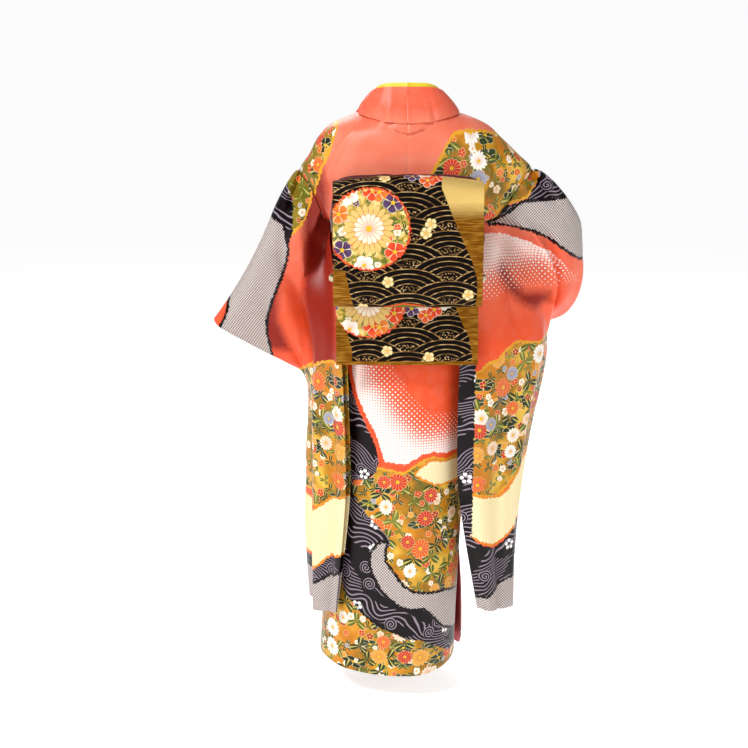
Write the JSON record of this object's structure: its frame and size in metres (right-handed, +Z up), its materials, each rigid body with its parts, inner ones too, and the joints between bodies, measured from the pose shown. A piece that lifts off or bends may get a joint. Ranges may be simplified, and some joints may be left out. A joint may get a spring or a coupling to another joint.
{
  "type": "furisode kimono with tied obi",
  "caption": "Long-sleeved formal kimono in worn form, crossed left over right, with a wide sash tied in a square drum bow at the back and long hanging sleeves.",
  "frame": {"origin": "middle of the wearer's shoulders, inside the neck of the garment, where the wearer carries it", "axes": "+Z up, -Y out of the garment's front, +X towards the wearer's left"},
  "size_m": [0.8488, 0.464, 1.3407],
  "materials": {
    "kimono_silk": "soft silk sheen",
    "lining_silk": "soft silk sheen",
    "under_collar_silk": "soft silk sheen",
    "brocade": "satin with gilt thread",
    "scarf_crepe": "matte crepe",
    "braid": "matte braid"
  },
  "bodies": {
    "root": {"body_left": "kimono_silk", "body_right": "kimono_silk", "overlap_left": "kimono_silk", "overlap_right": "kimono_silk", "collar_left": "kimono_silk", "collar_right": "kimono_silk", "sleeve_left": "kimono_silk", "sleeve_right": "kimono_silk", "waist_tuck": "kimono_silk", "hem_lining_red": "lining_silk", "under_collar_left": "under_collar_silk", "under_collar_right": "under_collar_silk", "sash_wrap": "brocade", "sash_drum": "brocade", "sash_tail": "brocade", "bow_pillow": "scarf_crepe", "scarf": "scarf_crepe", "cord": "braid", "cord_knot": "braid"}
  },
  "joints": []
}
